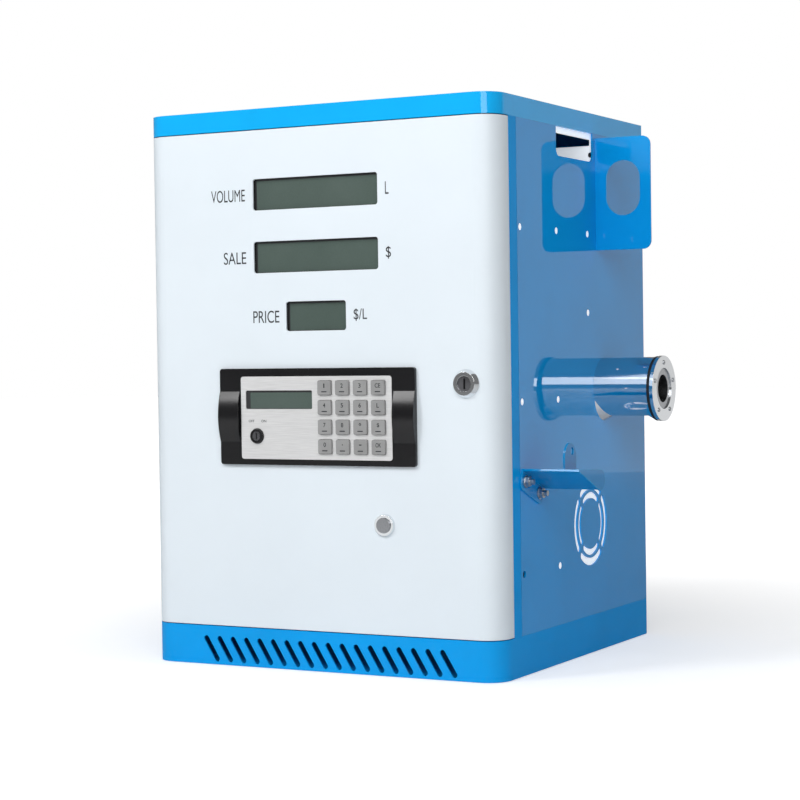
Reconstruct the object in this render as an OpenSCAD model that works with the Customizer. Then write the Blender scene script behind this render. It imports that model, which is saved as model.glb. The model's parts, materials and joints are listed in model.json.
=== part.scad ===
// Compact fuel dispenser: a sheet steel cabinet with a hinged display door, a keypad,
// a nozzle holster plate, a hose outlet and a pump set inside.
// Origin: centre of the base footprint, on the floor. -Y is the front, +X the hose side, +Z up.

/* [Cabinet] */
// Width of the cabinet
cabinet_w = 426; // [400:1:520]
// Depth of the cabinet, front to back
cabinet_d = 404; // [380:1:500]
// Height of the cabinet
cabinet_h = 600; // [580:1:740]
// Radius of the two front corners
corner_r = 25; // [23:1:30]
// Thickness of the sheet steel
sheet = 2; // [1.6:0.1:2.4]
// Height of the base tray
base_h = 42; // [38:1:56]
// Height of the top cap
cap_h = 22; // [18:1:34]
// Width of the inward ledges of the tray and the cap
ledge_w = 16; // [12:1:24]
// Depth of the ledge behind the front, which carries the door pins
front_ledge = 44; // [36:1:60]

/* [Door] */
// How far the door wraps round the front corners
door_return = 33; // [31:1:38]
// Gap above and below the door
door_gap = 1; // [0.6:0.1:2]
// Gap between the door's return and the front post
return_gap = 1.5; // [1.4:0.1:2.5]
// Distance of the hinge pins from the left side and from the front
pivot_in = 12; // [11:0.5:13]
// Radius of the hinge pins
pin_r = 3; // [2:0.5:3.5]
// Radial clearance of pins, cores and shafts that turn
running_gap = 0.05; // [0.02:0.01:0.1]
// Depth of the door's top and bottom flanges
flange_d = 27; // [24:1:30]
// Width of the blue post strip on each side
post_w = 17.1; // [14:0.1:24]
// Width of the jamb behind the door
jamb_w = 19; // [12:1:20]

/* [Displays] */
// Distance of the display and keypad group's centre from the door's centre
group_x = 2; // [-6:1:6]
// Width of the two upper windows
window_w = 152; // [120:1:170]
// Height of the upper windows
window_h = 33.6; // [28:0.1:40]
// Height of the top window's centre above the floor
window_top_z = 508; // [500:1:514]
// Distance from one upper window to the next
window_pitch = 67.1; // [60:0.1:70]
// Width of the price window
price_w = 73.2; // [60:0.1:90]
// Height of the price window
price_h = 31.3; // [26:0.1:36]
// Height of the price window's centre above the floor
price_z = 377.2; // [372:0.1:382]
// Depth of the display frame in front of its glass
display_recess = 3; // [2:0.5:5]

/* [Keypad] */
// Width of the keypad's black bezel
bezel_w = 238; // [232:1:250]
// Height of the bezel
bezel_h = 103; // [100:1:112]
// How far the bezel stands out of the door
bezel_proud = 4; // [3:0.5:8]
// Height of the bezel's centre above the floor
bezel_z = 270.5; // [262:0.5:280]
// How far the round wings bulge past the bezel's face
wing_bulge = 5; // [3:0.5:7]
// Height of the round wings
wing_h = 54; // [40:1:70]
// Width of the metal faceplate
plate_w = 184; // [182:1:190]
// Height of the metal faceplate
plate_h = 88.3; // [87:0.1:92]
// Width of a key
key_w = 15.8; // [14:0.1:16.5]
// Height of a key
key_h = 15.1; // [13:0.1:16]
// Distance between key centres across
key_pitch_x = 21.4; // [20.5:0.1:21.8]
// Distance between key centres up
key_pitch_z = 20.7; // [20:0.1:21.2]
// How far the keys stand out of the faceplate
key_proud = 2.5; // [2:0.1:4]

/* [Nozzle side] */
// How far the nozzle plate stands out of the side
holster_reach = 65.5; // [60:0.5:90]
// Height of the nozzle plate
holster_h = 125; // [110:1:140]
// Distance of the nozzle plate behind the front
holster_y = 262; // [258:1:264]
// Width of the nozzle plate's slot
spout_w = 40; // [30:1:44]
// Height of the nozzle plate's slot
spout_h = 61; // [50:1:80]
// Distance of the hose outlet's axis behind the front
outlet_back = 282; // [276:1:300]
// Height of the hose outlet's axis above the floor
outlet_z = 293; // [285:1:310]
// How far the hose outlet stands out of the side
outlet_reach = 71.5; // [66:0.5:90]
// Radius of the outlet's body
outlet_r = 32.8; // [31.5:0.1:33.5]
// Radius of the hose thread in the swivel
hose_bore_r = 15.4; // [12:0.1:17]
// Tilt of the nozzle rest, front end up
rest_tilt = 22.5; // [15:0.5:26]
// Length of the nozzle rest
rest_len = 57.8; // [54:0.1:70]
// How far the nozzle rest stands out of the side
rest_reach = 64.5; // [58:0.5:80]

/* [Pump set] */
// Height of the shaft's axis above the floor
shaft_z = 80; // [76:1:90]
// Radius of the shaft
shaft_r = 8; // [6:0.5:10]
// Radius of the motor
motor_r = 58; // [45:1:60]
// Length of the motor
motor_len = 150; // [120:1:160]
// Outer radius of the fuel pipes
pipe_r = 12; // [10:0.5:14]
// Radius of the thread in the fuel inlet
inlet_bore_r = 15.4; // [13:0.1:17]

/* [Hidden] */
$fn = 64;

// Cabinet planes
right_x = cabinet_w / 2;
left_x = -right_x;
front_y = -cabinet_d / 2;
rear_y = cabinet_d / 2;
cap_z = cabinet_h - cap_h;
inner_x = right_x - sheet;
overlap = 1;

// Door and posts
door_low = base_h + door_gap;
door_high = cap_z - door_gap;
door_edge_y = front_y + door_return;
post_y = door_edge_y + return_gap;
panel_y = post_y + post_w + 0.4;
pivot_x = left_x + pivot_in;
pivot_y = front_y + pivot_in;
jamb_gap = 5;
jamb_y = post_y + jamb_gap;
rail_h = 20;
pin_depth = 12;
shoulder_r = 5.5;
shoulder_gap = 0.2;
window_r = 3;

// Keypad planes and places, measured from the door's centre
display_frame = 6;
display_depth = 10;
board_t = 2;
faceplate_t = 1.5;
faceplate_proud = 0.5;
faceplate_y = front_y - bezel_proud - faceplate_proud;
faceplate_z = bezel_z - 1.2;
faceplate_ledge = 3;
pocket_depth = 3;
housing_depth = 16;
housing_rim = 6;
first_key_x = group_x + 12.6;
first_key_z = faceplate_z + 31.9;
key_gap = 0.3;
key_flange = 0.9;
key_flange_t = 1.2;
key_slack = 0.1;
keypad_screen = [82.4, 19.8];
keypad_screen_x = group_x - 44.7;
keypad_screen_z = faceplate_z + 19.3;
key_switch_x = group_x - 72.2;
key_switch_z = faceplate_z - 19.5;
key_switch_r = 8.5;
key_switch_neck_r = 7;
key_switch_core_r = 5;

// Door lock and push button
lock_x = right_x - 35.5;
lock_z = 304.5;
lock_ring_r = 15;
lock_barrel_r = 10.5;
lock_core_r = 8;
lock_tail_r = 6;
lock_proud = 5;
cam_len = 26;
cam_w = 14;
cam_t = 2.5;
cam_y = jamb_y + sheet + 0.5;
button_x = right_x - 131.4;
button_z = 157.7;
button_ring_r = 11.9;
button_r = 8;
button_neck_r = 9.5;
button_depth = 14;

// Side panel features: [distance behind the front, height]
pocket_front = 154;
pocket_rear = 255;
pocket_low = cap_z - 32;
pocket_r = 8;
strip_h = 6.5;
holster_low = cap_z - 5 - holster_h;
holster_r = 9.5;
spout_out = 33;
spout_z = holster_low + holster_h - 56.3;
vent_back = 238;
vent_z = 144;
vent_rings = [[28.3, 35], [38.2, 46.4]];
vent_web = 3.6;
filter_r = 49;
filter_t = 3;
plug_hole_r = 3.6;
plug_places = [
    [59, 465.3], [152, 465.3], [237.5, 465.3], [59.5, 284.4], [152, 284.4], [152, 105.5], [237, 378.2]
];
open_hole = [59.5, 105.5];
rest_back = 55.3;
rest_z = 215.3;
rest_flange_h = 20.6;
rest_corner_r = 6;
rest_bolt_inset = 10.5;
rest_bolt_r = 3;
clinch_r = 5.5;
clinch_t = 5;
lip_top_z = 212.4;
lip_end = 113;
lip_r = 11;
ear_out = 40;
ear_back = 88.3;
ear_z = 226;
ear_r = 15;
padlock_back = 92.4;
padlock_z = 232.3;
padlock_r = 4;

// Switch behind the pocket wall, whose magnetic lever feels the hung-up nozzle
switch_size = [30, 11, 16];
switch_x = right_x - 49;
switch_y = front_y + holster_y;
switch_z = pocket_low - 1;
lever_pin_r = 1.5;
lever_eye_r = 3;
lever_x = switch_x + 4;
lever_y = switch_y + switch_size[1] + 4;
lever_slack = 0.3;
ear_t = 2.5;

// Hose outlet, measured outwards from the side panel
outlet_y = front_y + outlet_back;
neck_r = 30;
neck_len = 8;
sleeve_lift = 2.3;
flare_drop = 6;
flare_r = outlet_r - 2.8;
flare_len = 10;
flange_r = outlet_r + 3.7;
flange_t = 4;
seal_t = 3.5;
seal_r = flange_r - 0.5;
flange_x = outlet_reach - flange_t;
seal_x = flange_x - seal_t;
swivel_recess = 1.5;
swivel_x = seal_x - 21;
swivel_r = 22.8;
shoulder_swivel_r = 23.9;
counterbore_r = 24;
sleeve_bore_r = 18;
outlet_screw_n = 5;
outlet_screw_pcr = outlet_r - 3.9;
outlet_screw_r = 1.7;
screw_head_r = 2.4;
screw_head_t = 0.8;
screw_depth = 6;

// Base tray louvres and mounting holes
louvre_n = 18;
louvre_pitch = 17;
louvre_run = 13.5;
louvre_drop = 22;
louvre_w = 6.2;
louvre_x = 9;
louvre_low = 6.1;
foot_x = right_x - 53;
foot_y = rear_y - 52;
foot_hole_r = 6;

// Pump set
pump_y = outlet_y;
motor_x = left_x + 23;
motor_end = motor_x + motor_len;
coupling_r = 2 * shaft_r;
coupling_len = 14;
coupling_gap = 4;
pump_x = motor_end + coupling_len + 2 * coupling_gap;
pump_len = 70;
pump_r = 46;
chamber_r = 36;
chamber_x = pump_x + 12;
chamber_len = 42;
rotor_r = 30;
vane_t = 3;
vane_reach = 5.5;
meter_x = pump_x + pump_len;
meter_w = 80;
meter_low = shaft_z - 35;
meter_top = shaft_z + 35;
meter_dome = 20;
pipe_wall = 2.5;
bend_r = 40;
rear_port = pump_r + 2;
rear_port_r = 20;
inlet_x = pump_x + pump_len / 2;
inlet_out = 20;
inlet_union_r = 21;
inlet_hex_r = 25;
gland_x = right_x - 73;
gland_z = 100;
gland_r = 10;
gland_hex_r = 13;
gland_bore_r = 5;
control_size = [160, 40, 140];
control_x = -60;
control_z = 360;
rear_slots = [2, 8];
rear_slot_w = 5;
rear_slot_len = 70;

// ---- Shared outlines and placings ----

// Cabinet footprint with round front corners, moved inwards by inset
module footprint(inset = 0) {
    r = corner_r - inset;
    w = cabinet_w - 2 * inset;
    d = cabinet_d - 2 * inset;
    translate([-w / 2, -d / 2 + r]) square([w, d - r]);
    translate([-w / 2 + r, -d / 2]) square([w - 2 * r, r + overlap]);
    for (side = [-1, 1]) translate([side * (w / 2 - r), -d / 2 + r]) circle(r = r);
}

// The part of the footprint within a depth behind the front
module front_zone(depth) {
    translate([left_x, front_y]) square([cabinet_w, depth]);
}

// The footprint's ledge ring, wider at the front
module ledge_ring() {
    difference() {
        footprint();
        translate([left_x + ledge_w, front_y + front_ledge])
            square([cabinet_w - 2 * ledge_w, cabinet_d - ledge_w - front_ledge]);
    }
}

// Rectangle with round corners, centred
module rounded_rect(w, h, r) {
    square([w - 2 * r, h], center = true);
    square([w, h - 2 * r], center = true);
    for (x = [-1, 1], y = [-1, 1]) translate([x * (w / 2 - r), y * (h / 2 - r)]) circle(r = r);
}

// Slot with round ends, along X from the origin
module slot_shape(length, width) {
    translate([0, -width / 2]) square([length, width]);
    circle(r = width / 2);
    translate([length, 0]) circle(r = width / 2);
}

// Extrudes an outline drawn in X and Z from y_front backwards
module front_prism(y_front, depth) {
    translate([0, y_front + depth, 0]) rotate([90, 0, 0]) linear_extrude(depth) children();
}

// Extrudes an outline drawn in Y and Z from x_left to the right
module side_prism(x_left, width) {
    translate([x_left, 0, 0]) rotate([90, 0, 90]) linear_extrude(width) children();
}

// Round bar along Y
module bar_y(x, y, z, length, r, r2 = undef) {
    translate([x, y, z]) rotate([-90, 0, 0])
        cylinder(h = length, r1 = r, r2 = is_undef(r2) ? r : r2);
}

// Round bar along X
module bar_x(x, y, z, length, r, r2 = undef) {
    translate([x, y, z]) rotate([0, 90, 0])
        cylinder(h = length, r1 = r, r2 = is_undef(r2) ? r : r2);
}

// Hexagonal bar along Y
module hex_y(x, y, z, length, r) {
    translate([x, y, z]) rotate([-90, 0, 0]) cylinder(h = length, r = r, $fn = 6);
}

// ---- Cabinet ----

module base_tray() {
    color("deepskyblue") difference() {
        union() {
            linear_extrude(sheet) footprint();
            linear_extrude(base_h) difference() {
                footprint();
                footprint(sheet);
            }
            translate([0, 0, base_h - sheet]) linear_extrude(sheet) ledge_ring();
        }
        front_prism(front_y - overlap, sheet + 2 * overlap) louvres();
        for (x = [-foot_x, foot_x], y = [-foot_y, foot_y])
            translate([x, y, -overlap]) cylinder(h = sheet + 2 * overlap, r = foot_hole_r);
        translate([pivot_x, pivot_y, base_h - sheet - overlap])
            cylinder(h = sheet + 2 * overlap, r = pin_r);
    }
}

// Row of slanted slots, drawn in X and Z
module louvres() {
    row_w = (louvre_n - 1) * louvre_pitch + louvre_run;
    for (i = [0:louvre_n - 1])
        translate([louvre_x - row_w / 2 + i * louvre_pitch, louvre_low + louvre_drop])
            rotate(-atan2(louvre_drop, louvre_run))
                slot_shape(norm([louvre_run, louvre_drop]), louvre_w);
}

module top_cap() {
    color("deepskyblue") difference() {
        union() {
            translate([0, 0, cabinet_h - sheet]) linear_extrude(sheet) footprint();
            translate([0, 0, cap_z]) linear_extrude(cap_h) difference() {
                footprint();
                footprint(sheet);
            }
            translate([0, 0, cap_z]) linear_extrude(sheet) ledge_ring();
        }
        translate([pivot_x, pivot_y, cap_z - overlap]) cylinder(h = sheet + 2 * overlap, r = pin_r);
    }
}

// Side sheet with its two folded edges, drawn for the right side
module side_sheet() {
    height = cap_z - base_h;
    translate([inner_x, panel_y, base_h]) cube([sheet, rear_y - panel_y, height]);
    translate([right_x - ledge_w, panel_y, base_h]) cube([ledge_w - overlap, sheet, height]);
    translate([right_x - ledge_w, rear_y - 2 * sheet, base_h]) cube([ledge_w - overlap, sheet, height]);
}

// Two slotted rings, drawn in Y and Z about the origin
module vent_slots() {
    for (ring = vent_rings) {
        mid = (ring[0] + ring[1]) / 2;
        half = (ring[1] - ring[0]) / 2;
        end_angle = asin((vent_web / 2 + half) / mid);
        difference() {
            circle(r = ring[1]);
            circle(r = ring[0]);
            for (a = [45, 135]) rotate(a)
                square([3 * ring[1], vent_web + 2 * half], center = true);
        }
        for (a = [45:90:315], s = [-1, 1]) rotate(a + s * end_angle) translate([mid, 0]) circle(r = half);
    }
}

// Plug holes and the vent, drawn in Y and Z
module side_holes() {
    for (p = concat(plug_places, [open_hole])) translate([front_y + p[0], p[1]]) circle(r = plug_hole_r);
    translate([front_y + vent_back, vent_z]) vent_slots();
}

// Opening of the nozzle pocket, open at the panel's top edge
module pocket_outline() {
    length = pocket_rear - pocket_front;
    translate([front_y + pocket_front, pocket_low + pocket_r]) square([length, cap_z - pocket_low]);
    translate([front_y + pocket_front + pocket_r, pocket_low])
        square([length - 2 * pocket_r, pocket_r + overlap]);
    for (y = [pocket_front + pocket_r, pocket_rear - pocket_r])
        translate([front_y + y, pocket_low + pocket_r]) circle(r = pocket_r);
}

module right_side_panel() {
    color("steelblue") difference() {
        union() {
            side_sheet();
            at_rest_bolts() translate([-sheet - clinch_t, 0, 0]) rotate([0, 90, 0])
                cylinder(h = clinch_t + sheet / 2, r = clinch_r);
        }
        side_prism(inner_x - overlap, sheet + 2 * overlap) {
            side_holes();
            pocket_outline();
            translate([front_y + holster_y, holster_low]) square([sheet, holster_h]);
        }
        bar_x(inner_x - overlap, outlet_y, outlet_z, sheet + 2 * overlap, neck_r);
        at_rest_bolts() translate([-sheet - clinch_t - overlap, 0, 0]) rotate([0, 90, 0])
            cylinder(h = clinch_t + sheet + 2 * overlap, r = rest_bolt_r);
    }
}

module left_side_panel() {
    color("steelblue") difference() {
        mirror([1, 0, 0]) side_sheet();
        side_prism(left_x - overlap, sheet + 2 * overlap) side_holes();
    }
}

module rear_panel() {
    slot_rise = 14;
    slot_gap = 50;
    slot_z = 200;
    color("steelblue") difference() {
        translate([-inner_x, rear_y - sheet, base_h]) cube([2 * inner_x, sheet, cap_z - base_h]);
        front_prism(rear_y - sheet - overlap, sheet + 2 * overlap) {
            for (i = [0:rear_slots[0] - 1], j = [0:rear_slots[1] - 1])
                translate([(i - 1) * (rear_slot_len + slot_gap) + slot_gap / 2, slot_z + j * slot_rise])
                    slot_shape(rear_slot_len, rear_slot_w);
            translate([inlet_x, shaft_z]) circle(r = rear_port_r - 4);
            translate([gland_x, gland_z]) circle(r = gland_r);
        }
    }
}

module front_frame() {
    height = cap_z - base_h;
    color("dodgerblue") {
        for (side = [0, 1]) mirror([side, 0, 0]) {
            translate([inner_x, post_y, base_h]) cube([sheet, post_w, height]);
            translate([right_x - jamb_w, jamb_y, base_h]) cube([jamb_w - overlap, sheet, height]);
        }
        for (z = [base_h, cap_z - rail_h])
            translate([-right_x + jamb_w - overlap, jamb_y, z])
                cube([cabinet_w - 2 * jamb_w + 2 * overlap, sheet, rail_h]);
    }
}

// A pin through the ledge and into the door's flange, with a shoulder between the two
module hinge_pin(z, up) {
    translate([pivot_x, pivot_y, z]) mirror([0, 0, up ? 0 : 1]) {
        translate([0, 0, -pin_depth]) cylinder(h = pin_depth + door_gap + 2 * sheet, r = pin_r);
        cylinder(h = door_gap - shoulder_gap, r = shoulder_r);
    }
}

module hinge_pins() {
    color("silver") {
        hinge_pin(base_h, true);
        hinge_pin(cap_z, false);
    }
}

// ---- Door ----

module window_outline(w, h, z) {
    translate([group_x, z]) rounded_rect(w, h, window_r);
}

module keypad_window(grow = 0) {
    translate([group_x, faceplate_z])
        rounded_rect(
            plate_w - 2 * faceplate_ledge + 2 * grow,
            plate_h - 2 * faceplate_ledge + 2 * grow,
            window_r
        );
}

module door_panel() {
    color("white") difference() {
        union() {
            translate([0, 0, door_low]) linear_extrude(door_high - door_low) intersection() {
                difference() {
                    footprint();
                    footprint(sheet);
                }
                front_zone(door_return);
            }
            for (z = [door_low, door_high - sheet]) translate([0, 0, z]) linear_extrude(sheet)
                intersection() {
                    footprint();
                    front_zone(flange_d);
                }
        }
        front_prism(front_y - overlap, sheet + 2 * overlap) {
            window_outline(window_w, window_h, window_top_z);
            window_outline(window_w, window_h, window_top_z - window_pitch);
            window_outline(price_w, price_h, price_z);
            keypad_window();
            translate([lock_x, lock_z]) circle(r = lock_barrel_r);
            translate([button_x, button_z]) circle(r = button_neck_r);
        }
        for (z = [door_low, door_high - sheet]) translate([pivot_x, pivot_y, z - overlap])
            cylinder(h = sheet + 2 * overlap, r = pin_r + running_gap);
    }
}

// A display: a frame behind its window, with the glass set back in it
module display(w, h, z) {
    color("dimgray") difference() {
        front_prism(front_y + sheet, display_depth)
            window_outline(w + 2 * display_frame, h + 2 * display_frame, z);
        front_prism(front_y + sheet - overlap, display_recess + overlap) window_outline(w, h, z);
    }
}

module volume_display() {
    display(window_w, window_h, window_top_z);
}

module sale_display() {
    display(window_w, window_h, window_top_z - window_pitch);
}

module price_display() {
    display(price_w, price_h, price_z);
}

module display_board() {
    low = price_z - price_h / 2 - display_frame;
    high = window_top_z + window_h / 2 + display_frame;
    color("darkgreen") translate([group_x - window_w / 2, front_y + sheet + display_depth, low])
        cube([window_w, board_t, high - low]);
}

// ---- Keypad ----

// One wing of the bezel: a slice of a round bar along X
module bezel_wing(x, width) {
    barrel_r = (pow(wing_h / 2, 2) + pow(wing_bulge, 2)) / (2 * wing_bulge);
    face_y = front_y - bezel_proud;
    intersection() {
        bar_x(x, face_y - wing_bulge + barrel_r, bezel_z, width, barrel_r);
        translate([x, face_y - wing_bulge - overlap, bezel_z - wing_h])
            cube([width, wing_bulge + bezel_proud / 2 + overlap, 2 * wing_h]);
    }
}

module keypad_bezel() {
    face_y = front_y - bezel_proud;
    margin = (bezel_w - plate_w) / 2;
    color([0.1, 0.1, 0.12]) difference() {
        union() {
            front_prism(face_y, bezel_proud)
                translate([group_x, bezel_z]) rounded_rect(bezel_w, bezel_h, window_r);
            bezel_wing(group_x - bezel_w / 2, margin - 2 * overlap);
            bezel_wing(group_x + plate_w / 2 + 2 * overlap, margin - 2 * overlap);
        }
        front_prism(face_y - overlap, faceplate_t - faceplate_proud + overlap)
            translate([group_x, faceplate_z]) rounded_rect(plate_w, plate_h, window_r);
        front_prism(face_y - overlap, bezel_proud + 2 * overlap) keypad_window();
    }
}

module at_key(row, column) {
    translate([first_key_x + (column - 1) * key_pitch_x, first_key_z - (row - 1) * key_pitch_z]) children();
}

module keypad_faceplate() {
    key_r = 1.5;
    color("silver") difference() {
        front_prism(faceplate_y, faceplate_t)
            translate([group_x, faceplate_z]) rounded_rect(plate_w, plate_h, window_r);
        front_prism(faceplate_y - overlap, faceplate_t + 2 * overlap) {
            for (row = [1:4], column = [1:4])
                at_key(row, column) rounded_rect(key_w + 2 * key_gap, key_h + 2 * key_gap, key_r);
            translate([keypad_screen_x, keypad_screen_z])
                rounded_rect(keypad_screen[0], keypad_screen[1], key_r);
            translate([key_switch_x, key_switch_z]) circle(r = key_switch_neck_r);
        }
    }
}

module keypad_display() {
    glass_t = 2.4;
    screen_edge = 1;
    color("darkolivegreen") front_prism(faceplate_y + faceplate_t, glass_t)
        translate([keypad_screen_x, keypad_screen_z])
            rounded_rect(
                keypad_screen[0] + 2 * screen_edge,
                keypad_screen[1] + 2 * screen_edge,
                window_r / 2
            );
}

module keypad_housing() {
    color([0.15, 0.15, 0.15]) difference() {
        front_prism(front_y + sheet, housing_depth) keypad_window(housing_rim);
        front_prism(front_y + sheet - overlap, pocket_depth + overlap) keypad_window();
    }
}

// A key: a cap through the faceplate, a flange behind it and a stem towards the board
module keypad_key(row, column) {
    key_r = 1.5;
    stem = 6;
    cap_y = faceplate_y - key_proud;
    flange_y = faceplate_y + faceplate_t + key_slack;
    stem_end = front_y + sheet + pocket_depth - 2;
    color("gray") {
        front_prism(cap_y, flange_y + key_flange_t - cap_y)
            at_key(row, column) rounded_rect(key_w, key_h, key_r);
        front_prism(flange_y, key_flange_t)
            at_key(row, column) rounded_rect(key_w + 2 * key_flange, key_h + 2 * key_flange, key_r);
        front_prism(flange_y, stem_end - flange_y)
            at_key(row, column) square(stem, center = true);
    }
}

module key_switch_ring() {
    ring_proud = 2.5;
    floor_y = front_y + sheet + pocket_depth;
    color("dimgray") difference() {
        union() {
            bar_y(
                key_switch_x, faceplate_y - ring_proud, key_switch_z, ring_proud, key_switch_r - 1, key_switch_r
            );
            bar_y(
                key_switch_x, faceplate_y - overlap, key_switch_z,
                floor_y - faceplate_y + overlap, key_switch_neck_r
            );
        }
        bar_y(key_switch_x, faceplate_y - ring_proud - overlap, key_switch_z,
            floor_y - faceplate_y + ring_proud + 2 * overlap, key_switch_core_r + running_gap);
    }
}

module key_switch_core() {
    core_y = faceplate_y - 2;
    slot = [1.6, 7];
    color("silver") difference() {
        bar_y(key_switch_x, core_y, key_switch_z, 8, key_switch_core_r);
        translate([key_switch_x - slot[0] / 2, core_y - overlap, key_switch_z - slot[1] / 2])
            cube([slot[0], 3, slot[1]]);
    }
}

// ---- Door lock and push button ----

module door_lock_ring() {
    barrel_end = cam_y - 0.4;
    color("silver") difference() {
        union() {
            bar_y(lock_x, front_y - lock_proud, lock_z, lock_proud, lock_ring_r - 3, lock_ring_r);
            bar_y(lock_x, front_y - overlap, lock_z, barrel_end - front_y + overlap, lock_barrel_r);
        }
        bar_y(lock_x, front_y - lock_proud - overlap, lock_z,
            barrel_end - front_y + lock_proud + 2 * overlap, lock_core_r + running_gap);
    }
}

module door_lock_core() {
    core_y = front_y - lock_proud + 1.5;
    slot = [2.4, 11];
    color("gray") difference() {
        union() {
            bar_y(lock_x, core_y, lock_z, cam_y - core_y, lock_core_r);
            bar_y(lock_x, cam_y - overlap, lock_z, cam_t + 1.5 + overlap, lock_tail_r);
        }
        translate([lock_x - slot[0] / 2, core_y - overlap, lock_z - slot[1] / 2])
            cube([slot[0], 5, slot[1]]);
    }
}

// The cam hangs down while the lock is open
module door_lock_cam() {
    color("silver") difference() {
        front_prism(cam_y, cam_t) translate([lock_x, lock_z]) rotate(-90) union() {
            slot_shape(cam_len - cam_w / 2, cam_w);
            circle(r = lock_core_r);
        }
        bar_y(lock_x, cam_y - overlap, lock_z, cam_t + 2 * overlap, lock_tail_r);
    }
}

module push_button_ring() {
    color("silver") difference() {
        union() {
            bar_y(button_x, front_y - 3, button_z, 3, button_ring_r - 1, button_ring_r);
            bar_y(button_x, front_y - overlap, button_z, button_depth + overlap, button_neck_r);
        }
        bar_y(
            button_x, front_y - 3 - overlap, button_z,
            button_depth + 3 + 2 * overlap, button_r + 2 * running_gap
        );
    }
}

module push_button() {
    color("lightgray") bar_y(button_x, front_y - 4.5, button_z, button_depth + 6, button_r);
}

// ---- Nozzle side ----

module nozzle_plate() {
    top = holster_low + holster_h;
    outer_x = right_x + holster_reach;
    start_x = right_x - 2 * sheet;
    color("dodgerblue") {
        difference() {
            front_prism(front_y + holster_y, sheet) {
                translate([start_x, holster_low]) square([outer_x - holster_r - start_x, holster_h]);
                translate([right_x, holster_low + holster_r])
                    square([holster_reach, holster_h - 2 * holster_r]);
                for (z = [holster_low + holster_r, top - holster_r])
                    translate([outer_x - holster_r, z]) circle(r = holster_r);
            }
            front_prism(front_y + holster_y - overlap, sheet + 2 * overlap)
                translate([right_x + spout_out, spout_z - (spout_h - spout_w) / 2])
                    rotate(90) slot_shape(spout_h - spout_w, spout_w);
        }
        translate([start_x, front_y + holster_y, holster_low]) cube([sheet, 18, holster_h]);
    }
}

// White wall at the back of the nozzle pocket, with a strip along the pocket's open top edge
module pocket_bracket() {
    wall_w = 58;
    foot = 16;
    low = pocket_low - pocket_r;
    high = cap_z - 13;
    wall_y = front_y + holster_y - sheet;
    face_x = right_x - 2 * sheet;
    strip_y = front_y + pocket_front - pocket_r;
    color("white") {
        translate([face_x - wall_w, wall_y, low]) cube([wall_w, sheet, high - low]);
        translate([face_x - sheet, wall_y, low]) cube([sheet, foot, high - low]);
        translate([face_x - sheet, strip_y, cap_z - strip_h])
            cube([sheet, wall_y + sheet - strip_y, strip_h]);
        translate([face_x - sheet, wall_y, high - overlap])
            cube([sheet, sheet, cap_z - high + overlap]);
    }
}

// Magnetic switch behind the pocket's wall, with two ears for its lever's pin
module nozzle_switch() {
    color([0.12, 0.12, 0.12]) {
        translate([switch_x, switch_y, switch_z]) cube(switch_size);
        for (z = [switch_z, switch_z + switch_size[2] - ear_t])
            translate([lever_x - lever_eye_r, switch_y + switch_size[1] - overlap, z])
                cube([2 * lever_eye_r, lever_y - switch_y - switch_size[1] + lever_eye_r + overlap, ear_t]);
        translate([lever_x, lever_y, switch_z]) cylinder(h = switch_size[2], r = lever_pin_r);
    }
}

// The lever: an eye on the pin and a thin blade
module nozzle_switch_lever() {
    eye_h = switch_size[2] - 2 * ear_t - 2 * lever_slack;
    eye_z = switch_z + ear_t + lever_slack;
    eye_r = lever_eye_r - 0.4;
    blade = [33, 1.2];
    color("silver") difference() {
        union() {
            translate([lever_x, lever_y, eye_z]) cylinder(h = eye_h, r = eye_r);
            translate([lever_x, lever_y + eye_r - blade[1], eye_z]) cube([blade[0], blade[1], eye_h]);
        }
        translate([lever_x, lever_y, eye_z - overlap])
            cylinder(h = eye_h + 2 * overlap, r = lever_pin_r + running_gap);
    }
}

// Puts children at the top front corner of the rest, turned with it
module at_rest() {
    translate([right_x, front_y + rest_back, rest_z]) rotate([-rest_tilt, 0, 0]) children();
}

// Puts children at both bolts of the rest, on the side panel's face
module at_rest_bolts() {
    at_rest() for (a = [rest_bolt_inset, rest_len - rest_bolt_inset])
        translate([0, a, -rest_flange_h / 2]) children();
}

// The rest's flange against the side panel, drawn in Y and Z, with round lower corners
module rest_flange_outline() {
    translate([0, rest_corner_r - rest_flange_h]) square([rest_len, rest_flange_h - rest_corner_r]);
    translate([rest_corner_r, -rest_flange_h])
        square([rest_len - 2 * rest_corner_r, rest_corner_r + overlap]);
    for (y = [rest_corner_r, rest_len - rest_corner_r])
        translate([y, rest_corner_r - rest_flange_h]) circle(r = rest_corner_r);
}

module nozzle_rest() {
    color("steelblue") difference() {
        union() {
            at_rest() {
                side_prism(0, sheet) rest_flange_outline();
                translate([0, 0, -sheet]) cube([rest_reach, rest_len, sheet]);
            }
            intersection() {
                union() {
                    side_prism(right_x + rest_reach - sheet, sheet) {
                        translate([front_y, 0]) polygon([
                            [rest_back, rest_z], [lip_end, lip_top_z],
                            [lip_end, lip_top_z - 2 * lip_r], [rest_back, rest_z - 40]]);
                        translate([front_y + lip_end, lip_top_z - lip_r]) circle(r = lip_r);
                    }
                    side_prism(right_x + ear_out - sheet / 2, sheet) {
                        translate([front_y + ear_back - ear_r, ear_z - 40]) square([2 * ear_r, 40]);
                        translate([front_y + ear_back, ear_z]) circle(r = ear_r);
                    }
                }
                at_rest() translate([0, -rest_len, -sheet])
                    cube([2 * rest_reach, 4 * rest_len, 2 * rest_len]);
            }
        }
        bar_x(right_x + ear_out - sheet, front_y + padlock_back, padlock_z, 2 * sheet, padlock_r);
        at_rest_bolts() translate([-overlap, 0, 0]) rotate([0, 90, 0])
            cylinder(h = sheet + 2 * overlap, r = rest_bolt_r);
    }
}

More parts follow.
